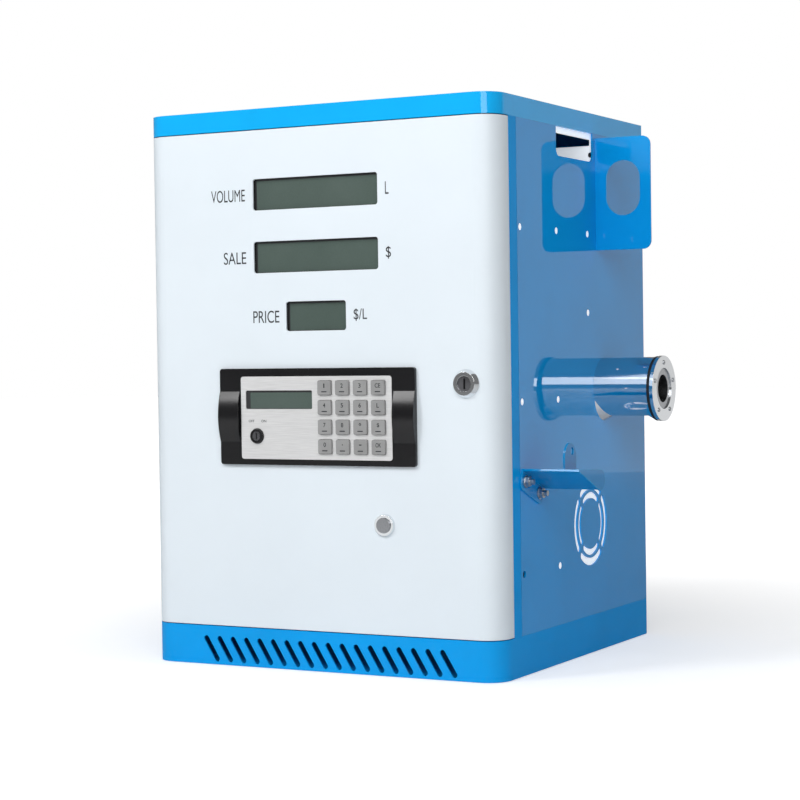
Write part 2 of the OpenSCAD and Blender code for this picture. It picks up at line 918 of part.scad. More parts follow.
module rest_bolts() {
    washer = [6.4, 1.2];
    head = [5.8, 4];
    bolt_end = 4.5;
    color("silver") at_rest_bolts() rotate([0, 90, 0]) {
        translate([0, 0, -sheet - clinch_t]) cylinder(h = clinch_t + 2 * sheet + washer[1], r = rest_bolt_r);
        translate([0, 0, sheet]) cylinder(h = washer[1], r = washer[0]);
        translate([0, 0, sheet + washer[1]]) cylinder(h = head[1], r = head[0], $fn = 6);
        translate([0, 0, sheet + washer[1] + head[1]]) cylinder(h = bolt_end, r = rest_bolt_r);
    }
}

// ---- Hose outlet ----

// Round bar on the outlet's axis, between two distances from the side panel
module outlet_bar(from, to, r, r2 = undef) {
    bar_x(right_x + from, outlet_y, outlet_z, to - from, r, r2);
}

// Puts children at each outlet screw, on the flange's back plane, pointing outwards
module at_outlet_screws() {
    translate([right_x, outlet_y, outlet_z]) rotate([0, 90, 0])
        for (i = [0:outlet_screw_n - 1]) rotate(180 + i * 360 / outlet_screw_n)
            translate([outlet_screw_pcr, 0, 0]) children();
}

module outlet_screw_holes(from, to) {
    at_outlet_screws() translate([0, 0, from]) cylinder(h = to - from, r = outlet_screw_r);
}

// The body sits a little above the bore's axis, and both its ends flare out at the bottom only
module outlet_sleeve() {
    flare_tip_r = outlet_r - sleeve_lift - flare_drop;
    color("silver") difference() {
        union() {
            outlet_bar(-neck_len, overlap, neck_r);
            translate([0, 0, sleeve_lift]) outlet_bar(0, seal_x, outlet_r);
            translate([0, 0, -flare_drop]) {
                outlet_bar(0, flare_len, flare_r, flare_tip_r);
                outlet_bar(seal_x - flare_len, seal_x, flare_tip_r, flare_r);
            }
        }
        outlet_bar(-neck_len - overlap, seal_x + overlap, sleeve_bore_r);
        outlet_bar(swivel_x - 1, seal_x + overlap, counterbore_r);
        outlet_screw_holes(seal_x - screw_depth, seal_x + overlap);
    }
}

module outlet_seal() {
    color([0.08, 0.08, 0.08]) difference() {
        outlet_bar(seal_x, flange_x, seal_r);
        outlet_bar(seal_x - overlap, flange_x + overlap, counterbore_r);
        outlet_screw_holes(seal_x - overlap, flange_x + overlap);
    }
}

module outlet_flange() {
    color("silver") difference() {
        outlet_bar(flange_x, outlet_reach, flange_r);
        outlet_bar(flange_x - overlap, outlet_reach + overlap, swivel_r + running_gap);
        outlet_screw_holes(flange_x - overlap, outlet_reach + overlap);
    }
}

module outlet_screws() {
    slot = [0.8, 3.2];
    color("gray") at_outlet_screws() difference() {
        union() {
            translate([0, 0, seal_x - screw_depth])
                cylinder(h = outlet_reach - seal_x + screw_depth, r = outlet_screw_r);
            translate([0, 0, outlet_reach]) cylinder(h = screw_head_t, r = screw_head_r);
        }
        translate([-slot[0] / 2, -slot[1] / 2, outlet_reach + screw_head_t / 2])
            cube([slot[0], slot[1], screw_head_t]);
    }
}

module outlet_swivel() {
    color("gray") difference() {
        union() {
            outlet_bar(swivel_x, flange_x - 0.5, shoulder_swivel_r);
            outlet_bar(swivel_x, outlet_reach - swivel_recess, swivel_r);
        }
        outlet_bar(swivel_x - overlap, outlet_reach + overlap, hose_bore_r);
    }
}

// ---- Vents and plugs ----

module vent_filters() {
    color("whitesmoke") for (x = [-inner_x, inner_x - filter_t])
        bar_x(x, front_y + vent_back, vent_z, filter_t, filter_r);
}

// A plug, pressed in from the inside: a flange behind the sheet and a shank that ends below the face
module hole_plugs() {
    flange = [4.7, 1.6];
    plug_recess = 0.2;
    color("white") for (side = [0, 1], p = plug_places) mirror([side, 0, 0]) {
        bar_x(inner_x, front_y + p[0], p[1], sheet - plug_recess, plug_hole_r);
        bar_x(inner_x - flange[1], front_y + p[0], p[1], flange[1], flange[0]);
    }
}

// ---- Pump set ----

module pump_motor() {
    foot = [110, 120, 6];
    saddle_w = 70;
    box = [56, 50, 24];
    mid_x = motor_x + motor_len / 2;
    bore_len = 34;
    color("gray") difference() {
        union() {
            bar_x(motor_x, pump_y, shaft_z, motor_len - 8, motor_r);
            bar_x(motor_end - 8, pump_y, shaft_z, 8, motor_r / 2);
            translate([mid_x - foot[0] / 2, pump_y - foot[1] / 2, sheet]) cube(foot);
            translate([mid_x - foot[0] / 2, pump_y - saddle_w / 2, sheet])
                cube([foot[0], saddle_w, shaft_z - motor_r / 2]);
            translate([mid_x - box[0] / 2, pump_y - box[1] / 2, shaft_z + motor_r - 6]) cube(box);
        }
        bar_x(motor_end - bore_len, pump_y, shaft_z, bore_len + overlap, shaft_r + running_gap);
    }
}

module pump_head() {
    pedestal = [46, 76];
    mid_x = pump_x + pump_len / 2;
    color("slategray") difference() {
        union() {
            bar_x(pump_x, pump_y, shaft_z, pump_len, pump_r);
            bar_y(mid_x, pump_y, shaft_z, rear_port, rear_port_r);
            translate([mid_x - pedestal[0] / 2, pump_y - pedestal[1] / 2, sheet])
                cube([pedestal[0], pedestal[1], shaft_z - sheet - pump_r / 2]);
        }
        bar_x(chamber_x, pump_y, shaft_z, chamber_len, chamber_r);
        bar_x(pump_x - overlap, pump_y, shaft_z, chamber_x - pump_x + 2 * overlap, shaft_r + running_gap);
        bar_y(mid_x, pump_y, shaft_z, rear_port + overlap, pipe_r);
        bar_x(chamber_x, pump_y, shaft_z, pump_len, pipe_r - pipe_wall);
    }
}

// Motor shaft, coupling and vane rotor, which turn as one
module drive_shaft() {
    rotor_x = chamber_x + 2;
    rotor_len = chamber_len - 4;
    start_x = motor_end - 30;
    color("silver") {
        bar_x(start_x, pump_y, shaft_z, rotor_x - start_x + overlap, shaft_r);
        bar_x(motor_end + coupling_gap, pump_y, shaft_z, coupling_len, coupling_r);
        bar_x(rotor_x, pump_y, shaft_z, rotor_len, rotor_r);
        for (a = [0, 90]) translate([rotor_x, pump_y, shaft_z]) rotate([a, 0, 0])
            translate([0, -rotor_r - vane_reach, -vane_t / 2])
                cube([rotor_len, 2 * (rotor_r + vane_reach), vane_t]);
    }
}

module flow_meter() {
    port_x = meter_x + meter_w / 2;
    leg = [50, 50];
    color("darkgray") difference() {
        union() {
            translate([meter_x, pump_y - meter_w / 2, meter_low])
                cube([meter_w, meter_w, meter_top - meter_low]);
            translate([port_x, pump_y, meter_top]) cylinder(h = meter_dome, r = meter_w / 2 - 10);
            translate([port_x - leg[0] / 2, pump_y - leg[1] / 2, sheet]) cube([leg[0], leg[1], meter_low]);
        }
        bar_x(meter_x - overlap, pump_y, shaft_z, meter_w / 2 + overlap, pipe_r - pipe_wall);
        translate([port_x, pump_y, shaft_z]) cylinder(h = meter_top + meter_dome, r = pipe_r - pipe_wall);
    }
}

// From the pump's rear port out through the rear panel, with a threaded union on its end
module inlet_pipe() {
    start_y = pump_y + rear_port;
    union_len = 24;
    collar = 4;
    color("silver") difference() {
        union() {
            bar_y(inlet_x, start_y, shaft_z, rear_y - start_y, rear_port_r - 4);
            bar_y(inlet_x, start_y, shaft_z, collar, rear_port_r);
            hex_y(inlet_x, rear_y, shaft_z, 12, inlet_hex_r);
            bar_y(inlet_x, rear_y, shaft_z, inlet_out, inlet_union_r);
        }
        bar_y(inlet_x, start_y - overlap, shaft_z, rear_y - start_y + inlet_out, pipe_r);
        bar_y(inlet_x, rear_y + inlet_out - union_len + 6, shaft_z, union_len, inlet_bore_r);
    }
}

// From the top of the meter up, round one bend and out to the hose outlet
module delivery_pipe() {
    low_z = meter_top + meter_dome;
    pipe_x = meter_x + meter_w / 2;
    bore = pipe_r - pipe_wall;
    end_x = right_x - neck_len;
    collar = [22, 4];
    color("silver") difference() {
        delivery_route(pipe_x, low_z, end_x, pipe_r, collar);
        delivery_route(pipe_x, low_z - overlap, end_x + overlap, bore, undef);
    }
}

module delivery_route(pipe_x, low_z, end_x, r, collar) {
    translate([pipe_x, pump_y, low_z]) cylinder(h = outlet_z - bend_r - low_z, r = r);
    translate([pipe_x + bend_r, pump_y, outlet_z - bend_r]) rotate([90, 0, 0])
        rotate([0, 0, 90]) rotate_extrude(angle = 90) translate([bend_r, 0]) circle(r = r);
    bar_x(pipe_x + bend_r, pump_y, outlet_z, end_x - pipe_x - bend_r, r);
    if (!is_undef(collar)) {
        bar_x(end_x - collar[1], pump_y, outlet_z, collar[1], collar[0]);
        translate([pipe_x, pump_y, low_z]) cylinder(h = collar[1], r = collar[0]);
    }
}

module control_box() {
    lid_t = 3;
    lid_edge = 3;
    box_y = rear_y - sheet - control_size[1];
    color("lightgray") {
        translate([control_x - control_size[0] / 2, box_y, control_z]) cube(control_size);
        front_prism(box_y - lid_t, lid_t)
            translate([control_x, control_z + control_size[2] / 2])
                rounded_rect(control_size[0] - 2 * lid_edge, control_size[2] - 2 * lid_edge, 2 * lid_edge);
    }
}

module cable_gland() {
    nut_t = 5;
    hex_t = 8;
    dome_t = 10;
    thread_len = 12;
    color([0.15, 0.15, 0.15]) difference() {
        union() {
            bar_y(gland_x, rear_y - thread_len, gland_z, thread_len, gland_r);
            hex_y(gland_x, rear_y - sheet - nut_t, gland_z, nut_t, gland_hex_r);
            hex_y(gland_x, rear_y, gland_z, hex_t, gland_hex_r);
            bar_y(gland_x, rear_y + hex_t, gland_z, dome_t, gland_r + 1, gland_r - 2);
        }
        bar_y(
            gland_x, rear_y - thread_len - overlap, gland_z,
            thread_len + hex_t + dome_t + 2 * overlap, gland_bore_r
        );
    }
}

base_tray();
top_cap();
right_side_panel();
left_side_panel();
rear_panel();
front_frame();
hinge_pins();
door_panel();
volume_display();
sale_display();
price_display();
display_board();
keypad_bezel();
keypad_faceplate();
keypad_display();
keypad_housing();
for (row = [1:4], column = [1:4])
    keypad_key(row, column);
key_switch_ring();
key_switch_core();
door_lock_ring();
door_lock_core();
door_lock_cam();
push_button_ring();
push_button();
nozzle_plate();
pocket_bracket();
nozzle_switch();
nozzle_switch_lever();
nozzle_rest();
rest_bolts();
outlet_sleeve();
outlet_seal();
outlet_flange();
outlet_screws();
outlet_swivel();
vent_filters();
hole_plugs();
pump_motor();
pump_head();
drive_shaft();
flow_meter();
inlet_pipe();
delivery_pipe();
control_box();
cable_gland();
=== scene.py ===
"""Looks of a compact fuel dispenser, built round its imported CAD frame.

Metres, +Z up, -Y the front with the displays, +X the side with the nozzle plate and hose outlet.
"""
import json
import math

import bmesh
import bpy
from mathutils import Matrix, Vector


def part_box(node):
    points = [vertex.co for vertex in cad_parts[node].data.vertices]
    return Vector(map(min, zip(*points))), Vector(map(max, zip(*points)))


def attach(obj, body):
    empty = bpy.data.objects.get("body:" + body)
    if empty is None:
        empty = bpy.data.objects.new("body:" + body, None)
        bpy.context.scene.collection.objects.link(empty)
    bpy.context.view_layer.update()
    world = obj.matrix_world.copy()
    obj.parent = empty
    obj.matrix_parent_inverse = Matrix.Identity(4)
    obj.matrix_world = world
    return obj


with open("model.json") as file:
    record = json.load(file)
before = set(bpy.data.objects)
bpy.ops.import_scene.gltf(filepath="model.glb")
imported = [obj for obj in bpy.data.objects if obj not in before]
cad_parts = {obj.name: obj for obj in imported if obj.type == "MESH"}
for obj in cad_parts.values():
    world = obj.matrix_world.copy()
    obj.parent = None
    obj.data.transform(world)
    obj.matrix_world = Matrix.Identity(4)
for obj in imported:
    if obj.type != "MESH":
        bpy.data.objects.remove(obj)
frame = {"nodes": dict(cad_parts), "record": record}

scene = bpy.context.scene
nodes = frame["nodes"]
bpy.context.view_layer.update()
MM = 0.001

# ---- Places taken from the frame ----

FRONT_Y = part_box("door_panel")[0].y
RIGHT_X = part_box("right_side_panel")[1].x
REAR_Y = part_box("rear_panel")[1].y
CAP_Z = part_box("top_cap")[0].z
DISPLAY_FRAME = 6 * MM
DISPLAY_RECESS = 3 * MM
SHEET = 2 * MM


# ---- Node helpers ----

def add(tree, kind, **values):
    """A shader node with some of its input sockets or its own settings set."""
    node = tree.nodes.new(kind)
    for key, value in values.items():
        socket = node.inputs.get(key.replace("_", " "))
        if socket is not None:
            socket.default_value = value
        else:
            setattr(node, key, value)
    return node


def link(tree, source, target):
    tree.links.new(source, target)


def new_material(name):
    material = bpy.data.materials.new(name)
    material.use_nodes = True
    return material, material.node_tree, material.node_tree.nodes["Principled BSDF"]


def object_coords(tree, stretch=(1, 1, 1)):
    coords = add(tree, "ShaderNodeTexCoord")
    mapping = add(tree, "ShaderNodeMapping", Scale=stretch)
    link(tree, coords.outputs["Object"], mapping.inputs["Vector"])
    return mapping.outputs["Vector"]


def noise(tree, vector, scale, detail=3.0, rough=0.55):
    node = add(tree, "ShaderNodeTexNoise", Scale=scale, Detail=detail, Roughness=rough)
    link(tree, vector, node.inputs["Vector"])
    return node.outputs["Fac"]


def spread(tree, factor, low, high, from_low=0.3, from_high=0.7):
    """Maps a noise value to low..high."""
    node = add(tree, "ShaderNodeMapRange")
    for socket, value in (("From Min", from_low), ("From Max", from_high), ("To Min", low), ("To Max", high)):
        node.inputs[socket].default_value = value
    link(tree, factor, node.inputs["Value"])
    return node.outputs["Result"]


def mix(tree, factor, first, second):
    """Mixes two colours, each a socket or a plain colour."""
    node = add(tree, "ShaderNodeMix", data_type="RGBA")
    link(tree, factor, node.inputs["Factor"])
    for name, value in (("A", first), ("B", second)):
        socket = next(s for s in node.inputs if s.name == name and s.type == "RGBA")
        if isinstance(value, bpy.types.NodeSocket):
            link(tree, value, socket)
        else:
            socket.default_value = (*value, 1.0)
    return next(s for s in node.outputs if s.type == "RGBA")


def shade(colour, factor):
    return tuple(min(1.0, c * factor) for c in colour)


def edge_mask(tree, radius):
    """0 on flat faces and up to 1 along edges."""
    bevel = add(tree, "ShaderNodeBevel", samples=4, Radius=radius)
    geometry = add(tree, "ShaderNodeNewGeometry")
    dot = add(tree, "ShaderNodeVectorMath", operation="DOT_PRODUCT")
    link(tree, bevel.outputs["Normal"], dot.inputs[0])
    link(tree, geometry.outputs["Normal"], dot.inputs[1])
    return bevel.outputs["Normal"], spread(tree, dot.outputs["Value"], 1.0, 0.0, 0.75, 0.98)


def surface(name, colour, rough, vary=0.08, rough_vary=0.06, blotch=9.0, grain=700.0, bump=0.05,
            depth=0.0002, stretch=(1, 1, 1), edge=0.0007, edge_painted_light_and_wear=1.25, grain_colour=0.0, **shader_values):
    """A moulded, painted or metal surface: colour drift, uneven gloss, fine grain and tinted edges. An edge
    factor above 1 lightens the edges, a painted highlight with some wear; below 1 it darkens them, painted
    shade.
    """
    material, tree, shader = new_material(name)
    for key, value in shader_values.items():
        shader.inputs[key.replace("_", " ")].default_value = value
    drift = noise(tree, object_coords(tree), blotch)
    fine = noise(tree, object_coords(tree, stretch), grain, 5.0, 0.6)
    normal, edges = edge_mask(tree, edge)
    body = mix(tree, spread(tree, drift, 0.0, 1.0), shade(colour, 1 - vary), shade(colour, 1 + vary))
    if grain_colour:
        body = mix(tree, spread(tree, fine, 0.0, grain_colour), body, shade(colour, 0.45))
    # Edge tint: a painted highlight with some wear where the factor is above 1, painted shade where it is
    # below 1.
    body = mix(tree, spread(tree, edges, 0.0, 1.0, 0.0, 1.0), body, shade(colour, edge_painted_light_and_wear))
    link(tree, body, shader.inputs["Base Color"])
    link(tree, spread(tree, drift, rough - rough_vary, rough + rough_vary), shader.inputs["Roughness"])
    relief = add(tree, "ShaderNodeBump", Strength=bump, Distance=depth)
    link(tree, fine, relief.inputs["Height"])
    link(tree, normal, relief.inputs["Normal"])
    link(tree, relief.outputs["Normal"], shader.inputs["Normal"])
    return material


def matt_top(material, side_weight, top_weight):
    """Thins the clear coat where the surface faces up, so top faces show little of the key light's
    reflection: the tops are darkened for how the light falls on them.
    """
    tree = material.node_tree
    split = add(tree, "ShaderNodeSeparateXYZ")
    link(tree, add(tree, "ShaderNodeNewGeometry").outputs["Normal"], split.inputs["Vector"])
    coat = spread(tree, split.outputs["Z"], side_weight, top_weight, 0.3, 0.9)
    link(tree, coat, tree.nodes["Principled BSDF"].inputs["Coat Weight"])
    return material


# ---- Materials ----

# One blue paint throughout. The first blue is it on the lit cap and front; the three after it are darker
# copies, painted shade for how the light falls on the side, nozzle plate and base tray.
BLUE = (0.003, 0.43, 0.91)
SIDE_SHADED_BLUE = (0.003, 0.345, 0.84)
PLATE_SHADED_BLUE = (0.002, 0.33, 0.80)
TRAY_SHADED_BLUE = (0.003, 0.345, 0.83)
# A glow for white parts that are no lamps: painted light that keeps the white bracket, nylon and filter mat
# bright.
WHITE_GLOW = dict(Emission_Color=(0.90, 0.95, 1.0, 1.0), Emission_Strength=0.5)
gloss = dict(Coat_IOR=1.5, Specular_IOR_Level=0.0)

MATERIALS = {
    "cap_blue": matt_top(surface("cap_blue", BLUE, 0.38, 0.05, 0.05, grain=420, bump=0.02, edge_painted_light_and_wear=1.15,
                                 Coat_Roughness=0.02, **gloss), 0.9, 0.05),
    "tray_shaded_blue": surface("tray_shaded_blue", TRAY_SHADED_BLUE, 0.38, 0.05, 0.05, grain=420, bump=0.02, edge_painted_light_and_wear=1.15,
                         Coat_Weight=0.3, Coat_Roughness=0.03, **gloss),
    "frame_shaded_blue": surface("frame_shaded_blue", SIDE_SHADED_BLUE, 0.42, 0.05, 0.05, grain=420, bump=0.02, edge_painted_light_and_wear=1.1,
                          Coat_Weight=0.25, Coat_Roughness=0.05, **gloss),
    # The side panel's blue: the side blue darkened further and its edges darkened, painted shade on the
    # less-lit side and along its edges.
    "side_blue": surface("side_blue", shade(SIDE_SHADED_BLUE, 0.92), 0.40, 0.04, 0.05, grain=260, bump=0.004,
                         edge_painted_light_and_wear=0.55, Coat_Weight=1.0, Coat_Roughness=0.008, **gloss),
    # The nozzle plate's blue, its edges strongly lightened: a painted highlight along them.
    "holster_blue": surface("holster_blue", PLATE_SHADED_BLUE, 0.34, 0.05, 0.05, grain=420, bump=0.02, edge_painted_light_and_wear=1.7,
                            Coat_Weight=0.8, Coat_Roughness=0.03, **gloss),
    # The nozzle rest's blue: the plate blue darkened, painted shade, with wider, strongly lightened edges, a
    # painted highlight.
    "rest_shaded_blue": surface("rest_shaded_blue", shade(PLATE_SHADED_BLUE, 0.8), 0.34, 0.05, 0.05, grain=420, bump=0.02,
                         edge=0.0010, edge_painted_light_and_wear=2.2, Coat_Weight=0.8, Coat_Roughness=0.03, **gloss),
    "door_white": surface("door_white", (0.76, 0.83, 0.885), 0.42, 0.012, 0.05, grain=900, bump=0.04,
                          edge_painted_light_and_wear=1.05, Specular_IOR_Level=0.4),
    "bracket_white": surface("bracket_white", (0.84, 0.86, 0.88), 0.45, 0.02, 0.05, grain=900, edge_painted_light_and_wear=1.05,
                             **WHITE_GLOW),
    "chrome": surface("chrome", (0.80, 0.82, 0.84), 0.06, 0.03, 0.03, grain=200, bump=0.012,
                      stretch=(0.05, 1, 1), edge=0.0004, Metallic=1.0),
    "swivel_steel": surface("swivel_steel", (0.42, 0.43, 0.45), 0.26, 0.08, 0.06, grain=900, bump=0.06,
                            stretch=(4, 0.4, 0.4), edge=0.0004, Metallic=1.0),
    "zinc_steel": surface("zinc_steel", (0.42, 0.43, 0.45), 0.28, 0.12, 0.08, blotch=60,
                          grain=1500, bump=0.06, edge=0.0003, edge_painted_light_and_wear=1.6, Metallic=1.0),
    "dark_steel": surface("dark_steel", (0.16, 0.16, 0.17), 0.30, 0.10, 0.08, blotch=60,
                          grain=1500, bump=0.06, edge=0.0003, edge_painted_light_and_wear=1.8, Metallic=0.9),
    "bezel_black": surface("bezel_black", (0.004, 0.004, 0.005), 0.20, 0.20, 0.04, grain=1800, bump=0.02,
                           edge_painted_light_and_wear=2.0, Specular_IOR_Level=0.50),
    "faceplate_steel": surface("faceplate_steel", (0.80, 0.80, 0.80), 0.38, 0.03, 0.04, grain=1500, bump=0.12,
                               depth=0.0001, stretch=(0.03, 1, 1), edge=0.0003, grain_colour=0.30, edge_painted_light_and_wear=1.1,
                               Metallic=0.25),
    "display_glass": surface("display_glass", (0.012, 0.013, 0.013), 0.20, 0.1, 0.05, grain=900, bump=0.02,
                             edge=0.0003, Specular_IOR_Level=0.35),
    # The keys' edges are darkened: painted shade round each key.
    "key_grey": surface("key_grey", (0.36, 0.36, 0.36), 0.36, 0.06, 0.06, blotch=50, grain=2600, bump=0.12,
                        depth=0.0001, edge=0.0007, edge_painted_light_and_wear=0.55, Metallic=0.35),
    "black_plastic": surface("black_plastic", (0.022, 0.022, 0.024), 0.5, 0.2, 0.08, grain=2200, bump=0.2,
                             edge_painted_light_and_wear=1.8),
    "seal_rubber": surface("seal_rubber", (0.010, 0.010, 0.011), 0.62, 0.2, 0.1, grain=1800, bump=0.25,
                           edge_painted_light_and_wear=2.0),
    "white_nylon": surface("white_nylon", (0.86, 0.88, 0.90), 0.4, 0.02, 0.05, grain=1500, edge_painted_light_and_wear=1.0,
                           **WHITE_GLOW),
    "filter_mat": surface("filter_mat", (0.80, 0.82, 0.84), 0.9, 0.05, 0.05, blotch=60, grain=1400, bump=0.8,
                          depth=0.0006, edge_painted_light_and_wear=1.0, **WHITE_GLOW),
    "circuit_board": surface("circuit_board", (0.02, 0.16, 0.06), 0.35, 0.15, 0.08, blotch=70, grain=900,
                             bump=0.1),
    "motor_grey": surface("motor_grey", (0.10, 0.13, 0.16), 0.42, 0.1, 0.08, blotch=25, grain=700, bump=0.15,
                          edge_painted_light_and_wear=1.6),
    "cast_aluminium": surface("cast_aluminium", (0.46, 0.47, 0.48), 0.48, 0.1, 0.1, blotch=30, grain=1100,
                              bump=0.45, depth=0.0004, Metallic=0.9),
    "pipe_steel": surface("pipe_steel", (0.46, 0.46, 0.46), 0.34, 0.1, 0.08, blotch=40, grain=900, bump=0.1,
                          Metallic=1.0),
    "shaft_steel": surface("shaft_steel", (0.56, 0.56, 0.57), 0.2, 0.06, 0.05, grain=900, bump=0.06,
                           stretch=(6, 0.5, 0.5), Metallic=1.0),
    "control_plastic": surface("control_plastic", (0.42, 0.44, 0.46), 0.5, 0.05, 0.06, grain=1400, bump=0.25),
    "print_ink": surface("print_ink", (0.022, 0.025, 0.030), 0.5, 0.15, 0.05, blotch=300, grain=3000,
                         bump=0.03, edge=0.0001, edge_painted_light_and_wear=1.0),
}


def lcd_material():
    """Reflective liquid crystal glass: grey-green, with a faint cell texture."""
    material, tree, shader = new_material("lcd_glass")
    shader.inputs["Roughness"].default_value = 0.22
    shader.inputs["Coat Weight"].default_value = 0.6
    shader.inputs["Coat Roughness"].default_value = 0.05
    cells = noise(tree, object_coords(tree), 900, 2.0)
    drift = noise(tree, object_coords(tree), 14)
    plain = mix(tree, spread(tree, drift, 0.0, 1.0), (0.070, 0.103, 0.089), (0.086, 0.121, 0.106))
    textured = mix(tree, spread(tree, cells, 0.0, 0.2), plain, (0.05, 0.07, 0.06))
    link(tree, textured, shader.inputs["Base Color"])
    return material


MATERIALS["lcd_glass"] = lcd_material()

# Nodes whose paint or plating differs from the rest of their slot's: darker copies of the blue, painted
# shade, on the base tray, front frame and nozzle rest, and dark steel on the key switch and lock cores.
OWN_FINISH_AND_SHADE = {"base_tray": "tray_shaded_blue", "front_frame": "frame_shaded_blue", "nozzle_rest": "rest_shaded_blue",
              "key_switch_core": "dark_steel", "door_lock_core": "dark_steel"}

for row in frame["record"]["subparts"]:
    mesh = nodes[row["node"]].data
    mesh.materials.clear()
    mesh.materials.append(MATERIALS[OWN_FINISH_AND_SHADE.get(row["node"], row["material_slot"])])


# ---- Mesh helpers ----

def piece(name, bm, finish, body, bevel=0.0, smooth=True):
    """Turns mesh data into a piece that rides on a body."""
    mesh = bpy.data.meshes.new(name)
    bmesh.ops.recalc_face_normals(bm, faces=bm.faces)
    bm.to_mesh(mesh)
    bm.free()
    mesh.materials.append(MATERIALS[finish])
    obj = bpy.data.objects.new(name, mesh)
    scene.collection.objects.link(obj)
    if smooth:
        mesh.shade_smooth()
        mesh.set_sharp_from_angle(angle=math.radians(32))
    if bevel:
        rounding = obj.modifiers.new("rounding", "BEVEL")
        rounding.width = bevel
        rounding.segments = 3
        rounding.limit_method = "ANGLE"
    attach(obj, body)
    return obj


def rounded_outline(width, height, radius, steps=6):
    """Points round a rectangle with round corners, about the origin."""
    points = []
    for corner, (sx, sy) in enumerate(((1, 1), (-1, 1), (-1, -1), (1, -1))):
        for i in range(steps + 1):
            angle = math.radians(90 * corner + 90 * i / steps)
            points.append((sx * (width / 2 - radius) + radius * math.cos(angle),
                           sy * (height / 2 - radius) + radius * math.sin(angle)))
    return points


def plate(bm, outline, place, depth):
    """Extrudes an outline by depth. place puts (u, v, w) into the row frame."""
    front = [bm.verts.new(place(u, v, 0)) for u, v in outline]
    back = [bm.verts.new(place(u, v, depth)) for u, v in outline]
    bm.faces.new(front)
    bm.faces.new(reversed(back))
    count = len(outline)
    for i in range(count):
        j = (i + 1) % count
        bm.faces.new((front[i], back[i], back[j], front[j]))


def ring_plate(bm, outer, inner, place, depth):
    """A flat frame between two outlines with the same number of points."""
    loops = [[bm.verts.new(place(u, v, w)) for u, v in outline]
             for outline in (outer, inner) for w in (0, depth)]
    outer_front, outer_back, inner_front, inner_back = loops
    count = len(outer)
    for i in range(count):
        j = (i + 1) % count
        bm.faces.new((outer_front[i], outer_front[j], inner_front[j], inner_front[i]))
        bm.faces.new((outer_back[j], outer_back[i], inner_back[i], inner_back[j]))
        bm.faces.new((outer_front[j], outer_front[i], outer_back[i], outer_back[j]))
        bm.faces.new((inner_front[i], inner_front[j], inner_back[j], inner_back[i]))


def facing_front(x, y, z):
    """Places (u, v, w) with u to the right, v up and w backwards."""
    return lambda u, v, w: (x + u, y + w, z + v)


def turned(bm, profile, origin, axis, segments=24):
    """A turned solid: profile is a list of (distance along the axis, radius)."""
    axis = Vector(axis).normalized()
    side = axis.orthogonal().normalized()
    other = axis.cross(side)
    loops = []
    for along, radius in profile:
        centre = Vector(origin) + axis * along
        if radius < 1e-7:
            loops.append([bm.verts.new(centre)])
            continue
        loops.append([bm.verts.new(centre + radius * (math.cos(a) * side + math.sin(a) * other))
                      for a in (2 * math.pi * i / segments for i in range(segments))])
    for first, second in zip(loops, loops[1:]):
        for i in range(segments):
            j = (i + 1) % segments
            corners = [first[i % len(first)], first[j % len(first)],
                       second[j % len(second)], second[i % len(second)]]
            unique = list(dict.fromkeys(corners))
            if len(unique) > 2:
                bm.faces.new(unique)
    for loop, flip in ((loops[0], True), (loops[-1], False)):
        if len(loop) > 1:
            bm.faces.new(reversed(loop) if flip else loop)


def screw_profile(radius):
    """A pan head with a round recess, measured outwards from the sheet."""
    shares = [(0, 1), (0.35, 1), (0.60, 0.80), (0.68, 0.45), (0.66, 0.38), (0.30, 0.30), (0.28, 0)]
    return [(along * radius, out * radius) for along, out in shares]


def screws(name, places, axis, radius, body, finish="zinc_steel"):
    bm = bmesh.new()
    for place in places:
        turned(bm, screw_profile(radius), place, axis, 20)
    return piece(name, bm, finish, body)


# ---- Printed labels ----

def fitted_text(name, words, left, right, middle_z, height, y, body, weight=0.0):
    """Words as a thin solid, stretched to fill a given width and height on a front face."""
    curve = bpy.data.curves.new(name + "_curve", "FONT")
    curve.body = words
    curve.extrude = 0.01
    curve.offset = weight
    source = bpy.data.objects.new(name + "_source", curve)
    scene.collection.objects.link(source)
    depsgraph = bpy.context.evaluated_depsgraph_get()
    mesh = bpy.data.meshes.new_from_object(source.evaluated_get(depsgraph))
    bpy.data.objects.remove(source)
    xs = [v.co.x for v in mesh.vertices]
    ys = [v.co.y for v in mesh.vertices]
    across = (right - left) / (max(xs) - min(xs))
    up = height / (max(ys) - min(ys))
    for vertex in mesh.vertices:
        thickness = 0.00012 if vertex.co.z > 0 else -0.0001
        vertex.co = (left + (vertex.co.x - min(xs)) * across, y - thickness,
                     middle_z + (vertex.co.y - (min(ys) + max(ys)) / 2) * up)
    mesh.materials.clear()
    mesh.materials.append(MATERIALS["print_ink"])
    obj = bpy.data.objects.new(name, mesh)
    scene.collection.objects.link(obj)
    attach(obj, body)
    return obj


LABEL_H = 13 * MM
WINDOWS = {
    # window: (words, gap to the window, width, unit, gap after the window, unit's width)
    "volume_display": ("VOLUME", 10 * MM, 43 * MM, "L", 9.2 * MM, 4.2 * MM),
    "sale_display": ("SALE", 9.5 * MM, 28.5 * MM, "$", 9.2 * MM, 6 * MM),
    "price_display": ("PRICE", 8.4 * MM, 32.6 * MM, "$/L", 9.3 * MM, 15.9 * MM),
}

for window, (words, gap, width, unit, unit_gap, unit_width) in WINDOWS.items():
    low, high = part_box(window)
    middle_z = (low.z + high.z) / 2
    left = low.x + DISPLAY_FRAME - gap
    right = high.x - DISPLAY_FRAME + unit_gap
    fitted_text(f"label_{words.lower()}", words, left - width, left, middle_z, LABEL_H, FRONT_Y, "door")
    fitted_text(f"unit_{window}", unit, right, right + unit_width, middle_z, LABEL_H, FRONT_Y, "door")


# ---- Liquid crystal displays ----

